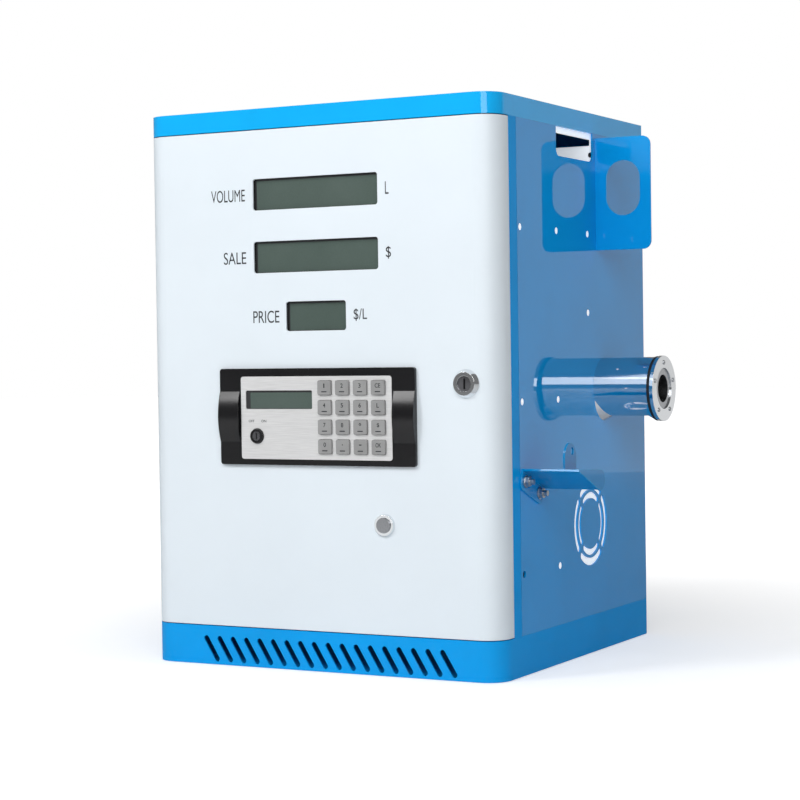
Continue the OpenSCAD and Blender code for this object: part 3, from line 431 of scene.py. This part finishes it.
def lcd(name, left, right, low, high, y, masks, body):
    """A glass pane with a dark mask round it. masks are its widths at the left, right, bottom and top."""
    mask_left, mask_right, mask_low, mask_high = masks
    centre_x, centre_z = (left + right) / 2, (low + high) / 2
    outer = rounded_outline(right - left, high - low, 2.2 * MM)
    inner_w = right - left - mask_left - mask_right
    inner_h = high - low - mask_low - mask_high
    shift_x, shift_z = (mask_left - mask_right) / 2, (mask_low - mask_high) / 2
    inner = [(u + shift_x, v + shift_z) for u, v in rounded_outline(inner_w, inner_h, 0.8 * MM)]
    bm = bmesh.new()
    ring_plate(bm, outer, inner, facing_front(centre_x, y - 0.5 * MM, centre_z), 0.45 * MM)
    piece(name + "_mask", bm, "black_plastic", body)
    bm = bmesh.new()
    plate(bm, inner, facing_front(centre_x, y - 0.3 * MM, centre_z), 0.25 * MM)
    piece(name + "_pane", bm, "lcd_glass", body, smooth=False)


# The window masks are wider at the left and top: partly the displays' own black border, partly painted shadow
# cast by the recess walls.
for window in WINDOWS:
    low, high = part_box(window)
    lcd(window, low.x + DISPLAY_FRAME, high.x - DISPLAY_FRAME, low.z + DISPLAY_FRAME, high.z - DISPLAY_FRAME,
        FRONT_Y + SHEET + DISPLAY_RECESS, (2.2 * MM, 0.6 * MM, 0.6 * MM, 2.0 * MM), "door")

# The keypad display's mask is widest at the left and top: partly its own black border, partly painted shadow
# from the walls round it.
screen_low, screen_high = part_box("keypad_display")
SCREEN_EDGE = 1 * MM
lcd("keypad_display", screen_low.x + SCREEN_EDGE, screen_high.x - SCREEN_EDGE, screen_low.z + SCREEN_EDGE,
    screen_high.z - SCREEN_EDGE, screen_low.y, (5 * MM, 0.5 * MM, 0.5 * MM, 2 * MM), "door")


# ---- Keypad legends ----

KEY_LEGENDS = ["1", "2", "3", "CE", "4", "5", "6", "L", "7", "8", "9", "$", "0", ".", "-", "OK"]
LEGEND_H = 4.6 * MM
LEGEND_UP = 2.2 * MM
LEGEND_WIDTHS = {"1": 1.4 * MM, ".": 1.2 * MM, "CE": 6.4 * MM, "OK": 6.4 * MM}
DIGIT_W = 2.8 * MM
MARK_H = 1.2 * MM
DASH = (6.5 * MM, 1.1 * MM)
DASH_DOWN = 4.2 * MM
SWITCH_LEGEND_H = 2.6 * MM

for index, legend in enumerate(KEY_LEGENDS):
    key = f"key_{index // 4 + 1}_{index % 4 + 1}"
    low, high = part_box(key)
    middle = (low + high) / 2
    half = LEGEND_WIDTHS.get(legend, DIGIT_W) / 2
    tall = MARK_H if legend in ".-" else LEGEND_H
    fitted_text(f"legend_{key}", legend, middle.x - half, middle.x + half, middle.z + LEGEND_UP, tall,
                low.y, key, 0.01)
    bm = bmesh.new()
    plate(bm, rounded_outline(*DASH, 0.5 * MM, 3),
          facing_front(middle.x, low.y - 0.12 * MM, middle.z - DASH_DOWN), 0.2 * MM)
    piece(f"dash_{key}", bm, "print_ink", key)

faceplate_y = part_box("keypad_faceplate")[0].y
switch_low, switch_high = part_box("key_switch_ring")
switch_legend_z = switch_high.z + 7.5 * MM
for word, left, width in (("OFF", switch_low.x - 2 * MM, 7 * MM), ("ON", switch_high.x - 3 * MM, 6 * MM)):
    fitted_text(f"legend_switch_{word.lower()}", word, left, left + width, switch_legend_z, SWITCH_LEGEND_H,
                faceplate_y, "door")


# ---- Nozzle pocket ----

pocket_wall_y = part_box("nozzle_plate")[0].y - SHEET
screws("pocket_screw", [(RIGHT_X - 4.3 * MM, pocket_wall_y, CAP_Z - 23.3 * MM)], (0, -1, 0), 3.0 * MM,
       "cabinet", "black_plastic")


# ---- Rear panel ----

rear_low, rear_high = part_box("rear_panel")
REAR_ROWS = 5
REAR_ROW_INSET = 14 * MM
rear_pitch = (rear_high.z - rear_low.z - 2 * REAR_ROW_INSET) / (REAR_ROWS - 1)
screws("rear_screws", [(side * (rear_high.x - 9 * MM), REAR_Y, rear_low.z + REAR_ROW_INSET + row * rear_pitch)
                       for row in range(REAR_ROWS) for side in (-1, 1)], (0, 1, 0), 3.4 * MM, "cabinet")


# ---- Pump set: fins, cowl, lids and bolts ----

def bolts(name, places, axis, radius, height, body="cabinet", finish="zinc_steel"):
    """Hexagon heads on a round washer."""
    bm = bmesh.new()
    for place in places:
        turned(bm, [(-0.2 * MM, 1.35 * radius), (0.25 * height, 1.35 * radius)], place, axis, 24)
        turned(bm, [(0.2 * height, radius), (0.9 * height, radius), (height, 0.88 * radius)], place, axis, 6)
    return piece(name, bm, finish, body)


shaft_low, shaft_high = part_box("drive_shaft")
SHAFT_Y, SHAFT_Z = (shaft_low.y + shaft_high.y) / 2, (shaft_low.z + shaft_high.z) / 2
motor_low, motor_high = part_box("pump_motor")
MOTOR_R = 58 * MM
MOTOR_X = (motor_low.x + motor_high.x) / 2
FIN_HALF = 46 * MM

bm = bmesh.new()
for step in range(36):
    angle = math.radians(10 * step + 5)
    out = Vector((0, math.cos(angle), math.sin(angle)))
    across = Vector((0, -math.sin(angle), math.cos(angle)))
    if out.z > 0.86 or out.z < -0.55:
        continue
    plate(bm, [(-FIN_HALF, -1 * MM), (FIN_HALF, -1 * MM), (FIN_HALF, 1 * MM), (-FIN_HALF, 1 * MM)],
          lambda u, v, w, out=out, across=across: (
              Vector((MOTOR_X + u, SHAFT_Y, SHAFT_Z)) + across * v + out * (MOTOR_R - 1 * MM + w)), 4.5 * MM)
piece("motor_fins", bm, "motor_grey", "cabinet", bevel=0.4 * MM)

COWL_R = 60 * MM
COWL_RIM = [(-1 * MM, 56 * MM), (0.5 * MM, COWL_R), (24 * MM, COWL_R + 0.5 * MM), (24.5 * MM, 57 * MM)]
bm = bmesh.new()
grooves = [(0.8 * MM if i % 2 else -0.8 * MM, (6 + 5 * i) * MM) for i in range(10)]
turned(bm, [(-0.8 * MM, 0)] + grooves + COWL_RIM, (motor_low.x, SHAFT_Y, SHAFT_Z), (1, 0, 0), 72)
piece("motor_cowl", bm, "motor_grey", "cabinet")

LID_T = 2 * MM
bm = bmesh.new()
plate(bm, rounded_outline(57 * MM, 51 * MM, 4 * MM),
      lambda u, v, w: (MOTOR_X + u, SHAFT_Y + v, motor_high.z + w), LID_T)
piece("terminal_lid", bm, "motor_grey", "cabinet", bevel=0.5 * MM)
screws("terminal_screws", [(MOTOR_X + x * 24 * MM, SHAFT_Y + y * 21 * MM, motor_high.z + LID_T)
                           for x in (-1, 1) for y in (-1, 1)], (0, 0, 1), 2.4 * MM, "cabinet")

BOLT_R = 3.6 * MM
BOLT_H = 3.5 * MM
PUMP_BOLT_CIRCLE = 40.5 * MM
PUMP_FRONT_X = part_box("pump_head")[0].x
ring = [(SHAFT_Y + PUMP_BOLT_CIRCLE * math.cos(a), SHAFT_Z + PUMP_BOLT_CIRCLE * math.sin(a))
        for a in (math.radians(60 * i + 30) for i in range(6))]
bolts("pump_bolts", [(PUMP_FRONT_X, y, z) for y, z in ring], (-1, 0, 0), BOLT_R, BOLT_H)

meter_low, meter_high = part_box("flow_meter")
meter_x, meter_y = (meter_low.x + meter_high.x) / 2, (meter_low.y + meter_high.y) / 2
METER_DOME = 20 * MM
meter_inset = (meter_high.x - meter_low.x) / 2 - 8 * MM
bolts("meter_bolts", [(meter_x + x * meter_inset, meter_y + y * meter_inset, meter_high.z - METER_DOME)
                      for x in (-1, 1) for y in (-1, 1)], (0, 0, 1), BOLT_R, BOLT_H)

LID_SCREW_INSET = 10 * MM
control_low, control_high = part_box("control_box")
screws("control_screws", [(x, control_low.y, z)
                          for x in (control_low.x + LID_SCREW_INSET, control_high.x - LID_SCREW_INSET)
                          for z in (control_low.z + LID_SCREW_INSET, control_high.z - LID_SCREW_INSET)],
       (0, -1, 0), 2.6 * MM, "cabinet")


# ---- Wiring ----

def tube(name, points, radius, body, steps=10, segments=12):
    """A cable through the points, which are eased into a smooth run."""
    points = [Vector(p) for p in points]
    padded = [2 * points[0] - points[1]] + points + [2 * points[-1] - points[-2]]
    path = []
    for a, b, c, d in zip(padded, padded[1:], padded[2:], padded[3:]):
        for i in range(steps):
            t = i / steps
            path.append(0.5 * ((2 * b) + (c - a) * t + (2 * a - 5 * b + 4 * c - d) * t ** 2
                               + (3 * b - a - 3 * c + d) * t ** 3))
    path.append(points[-1])
    bm = bmesh.new()
    side = (path[1] - path[0]).orthogonal().normalized()
    loops = []
    for i, centre in enumerate(path):
        along = (path[min(i + 1, len(path) - 1)] - path[max(i - 1, 0)]).normalized()
        side = (side - along * side.dot(along)).normalized()
        other = along.cross(side)
        loops.append([bm.verts.new(centre + radius * (math.cos(a) * side + math.sin(a) * other))
                      for a in (2 * math.pi * k / segments for k in range(segments))])
    for first, second in zip(loops, loops[1:]):
        for k in range(segments):
            n = (k + 1) % segments
            bm.faces.new((first[k], first[n], second[n], second[k]))
    bm.faces.new(reversed(loops[0]))
    bm.faces.new(loops[-1])
    return piece(name, bm, "seal_rubber", body)


CABLE_R = 4 * MM
CABLE_DROP = 40 * MM
CABLE_SIDE = 45 * MM
control_mid = (control_low + control_high) / 2
gland_low, gland_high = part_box("cable_gland")
gland_mid = (gland_low + gland_high) / 2
mains_x, motor_cable_x = control_mid.x + CABLE_SIDE, control_mid.x - CABLE_SIDE
tube("mains_cable", [(gland_mid.x, gland_low.y, gland_mid.z),
                     (gland_mid.x, gland_low.y - 22 * MM, gland_mid.z + 6 * MM),
                     (mains_x, control_mid.y, control_low.z - CABLE_DROP),
                     (mains_x, control_mid.y, control_low.z)], CABLE_R, "cabinet")
tube("motor_cable", [(motor_cable_x, control_mid.y, control_low.z),
                     (motor_cable_x, control_mid.y, control_low.z - CABLE_DROP),
                     (MOTOR_X, SHAFT_Y + 20 * MM, motor_high.z + CABLE_DROP),
                     (MOTOR_X, SHAFT_Y, motor_high.z + LID_T)], CABLE_R, "cabinet")


# ---- Camera, light and floor ----

CAMERA_AT = (1.10476, -2.08380, 0.33946)
CAMERA_AZIMUTH = 28.067
CAMERA_PITCH = -1.380
CAMERA_ROLL = -0.803
CAMERA_LENS = 92.80
SURROUND_LIGHT = 0.20
FLOOR_GLOW = 0.08
FLOOR_R = 14


def add_camera():
    azimuth, pitch, roll = (math.radians(a) for a in (CAMERA_AZIMUTH, CAMERA_PITCH, CAMERA_ROLL))
    view = Vector((-math.sin(azimuth) * math.cos(pitch), math.cos(azimuth) * math.cos(pitch),
                   math.sin(pitch)))
    level = Vector((math.cos(azimuth), math.sin(azimuth), 0))
    upright = level.cross(view)
    right = math.cos(roll) * level + math.sin(roll) * upright
    up = math.cos(roll) * upright - math.sin(roll) * level
    data = bpy.data.cameras.new("camera")
    data.lens = CAMERA_LENS
    data.sensor_width = 36
    camera = bpy.data.objects.new("camera", data)
    scene.collection.objects.link(camera)
    camera.matrix_world = Matrix.Translation(CAMERA_AT) @ Matrix((right, up, -view)).transposed().to_4x4()
    scene.camera = camera


def softbox(name, azimuth, elevation, distance, width, height, power):
    """An area light that looks at the object's middle. Azimuth 0 is the front and 90 the hose side."""
    azimuth, elevation = math.radians(azimuth), math.radians(elevation)
    out = Vector((math.sin(azimuth) * math.cos(elevation), -math.cos(azimuth) * math.cos(elevation),
                  math.sin(elevation)))
    data = bpy.data.lights.new(name, "AREA")
    data.shape = "RECTANGLE"
    data.size = width
    data.size_y = height
    data.energy = power
    light = bpy.data.objects.new(name, data)
    scene.collection.objects.link(light)
    light.location = Vector((0, 0, 0.3)) + out * distance
    light.rotation_mode = "QUATERNION"
    light.rotation_quaternion = (-out).to_track_quat("-Z", "Y")
    light.visible_camera = False


def add_world():
    world = bpy.data.worlds.new("studio")
    scene.world = world
    world.use_nodes = True
    tree = world.node_tree
    background = tree.nodes["Background"]
    path = add(tree, "ShaderNodeLightPath")
    strength = spread(tree, path.outputs["Is Camera Ray"], SURROUND_LIGHT, 1.0, 0.0, 1.0)
    link(tree, strength, background.inputs["Strength"])
    background.inputs["Color"].default_value = (1, 1, 1, 1)


def add_floor():
    """A pale round floor that fades into the white surround."""
    bm = bmesh.new()
    bmesh.ops.create_circle(bm, cap_ends=True, segments=96, radius=FLOOR_R)
    mesh = bpy.data.meshes.new("floor")
    bm.to_mesh(mesh)
    bm.free()
    floor = bpy.data.objects.new("floor", mesh)
    floor.location.z = -0.0005
    scene.collection.objects.link(floor)
    material, tree, shader = new_material("floor")
    shader.inputs["Roughness"].default_value = 0.9
    grain = noise(tree, object_coords(tree), 40)
    link(tree, mix(tree, spread(tree, grain, 0.0, 1.0), (0.78, 0.79, 0.80), (0.84, 0.845, 0.85)),
         shader.inputs["Base Color"])
    path = add(tree, "ShaderNodeLightPath")
    distance = add(tree, "ShaderNodeVectorMath", operation="LENGTH")
    link(tree, object_coords(tree), distance.inputs[0])
    glow = add(tree, "ShaderNodeMath", operation="MULTIPLY")
    link(tree, spread(tree, distance.outputs["Value"], 0.45, 1.0, 0.3, 1.3), glow.inputs[0])
    link(tree, spread(tree, path.outputs["Is Camera Ray"], FLOOR_GLOW, 1.0, 0.0, 1.0), glow.inputs[1])
    shader.inputs["Emission Color"].default_value = (1, 1, 1, 1)
    link(tree, glow.outputs["Value"], shader.inputs["Emission Strength"])
    mesh.materials.append(material)


add_camera()
add_world()
add_floor()
softbox("key_light", 34, 22, 2.9, 1.3, 1.3, 22)
softbox("main_light", 10, 40, 3.2, 2.0, 1.2, 26)
softbox("left_light", -31, 32, 3.2, 0.8, 1.5, 32)
softbox("backdrop_light", 152, 6, 3.4, 2.4, 1.6, 6)
scene.view_settings.view_transform = "Standard"
scene.view_settings.look = "None"
